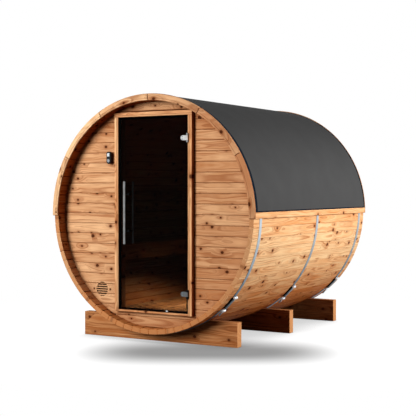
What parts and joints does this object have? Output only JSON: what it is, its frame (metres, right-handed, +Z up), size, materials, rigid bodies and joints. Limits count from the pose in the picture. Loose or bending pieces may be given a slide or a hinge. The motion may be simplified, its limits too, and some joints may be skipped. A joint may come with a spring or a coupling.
{
  "type": "barrel sauna",
  "caption": "Wooden barrel sauna on three cradles, with a hinged glass door in its front wall, a bench inside and roofing over its upper half.",
  "frame": {"origin": "on the ground under the middle of the barrel, on the middle cradle's underside", "axes": "+Z up, +Y along the barrel's axis away from the door, +X to the right of someone facing the door"},
  "size_m": [2.0818, 2.355, 2.139],
  "materials": {
    "staves": "oiled",
    "wall_boards": "oiled",
    "trim": "oiled",
    "interior": "raw",
    "cradles": "oiled",
    "glass": "clear",
    "roofing": "matte",
    "steel": "satin",
    "housing": "satin"
  },
  "bodies": {
    "barrel": {"staves_right_upper": "staves", "staves_top_right": "staves", "staves_top_left": "staves", "staves_left_upper": "staves", "staves_left_lower": "staves", "staves_bottom_left": "staves", "staves_bottom_right": "staves", "staves_right_lower": "staves", "front_wall_left": "wall_boards", "front_wall_right": "wall_boards", "front_wall_top": "wall_boards", "front_wall_bottom": "wall_boards", "rear_wall": "wall_boards", "door_jamb_left": "trim", "door_jamb_right": "trim", "door_head": "trim", "door_sill": "trim", "hinge_brackets": "steel", "floor": "interior", "floor_joists": "interior", "bench_seat": "interior", "bench_front_board": "interior", "bench_bearers": "interior", "backrest": "interior", "front_arch": "trim", "rear_arch": "trim", "roofing": "roofing", "batten_left": "trim", "batten_right": "trim", "band_front": "steel", "band_middle": "steel", "band_rear": "steel", "band_tensioners": "steel", "cradle_front": "cradles", "cradle_middle": "cradles", "cradle_rear": "cradles", "vent_shutter": "interior", "control_unit": "housing"},
    "door": {"door_glass": "glass", "door_handle": "steel", "hinge_clamps": "steel", "door_catch": "steel"}
  },
  "joints": [
    {"name": "door_hinge", "type": "hinge", "parent": "barrel", "child": "door", "pos_m": [0.3595, -1.1125, 1.1065], "axis": [0, 0, 1], "range_deg": [0, 105]}
  ]
}
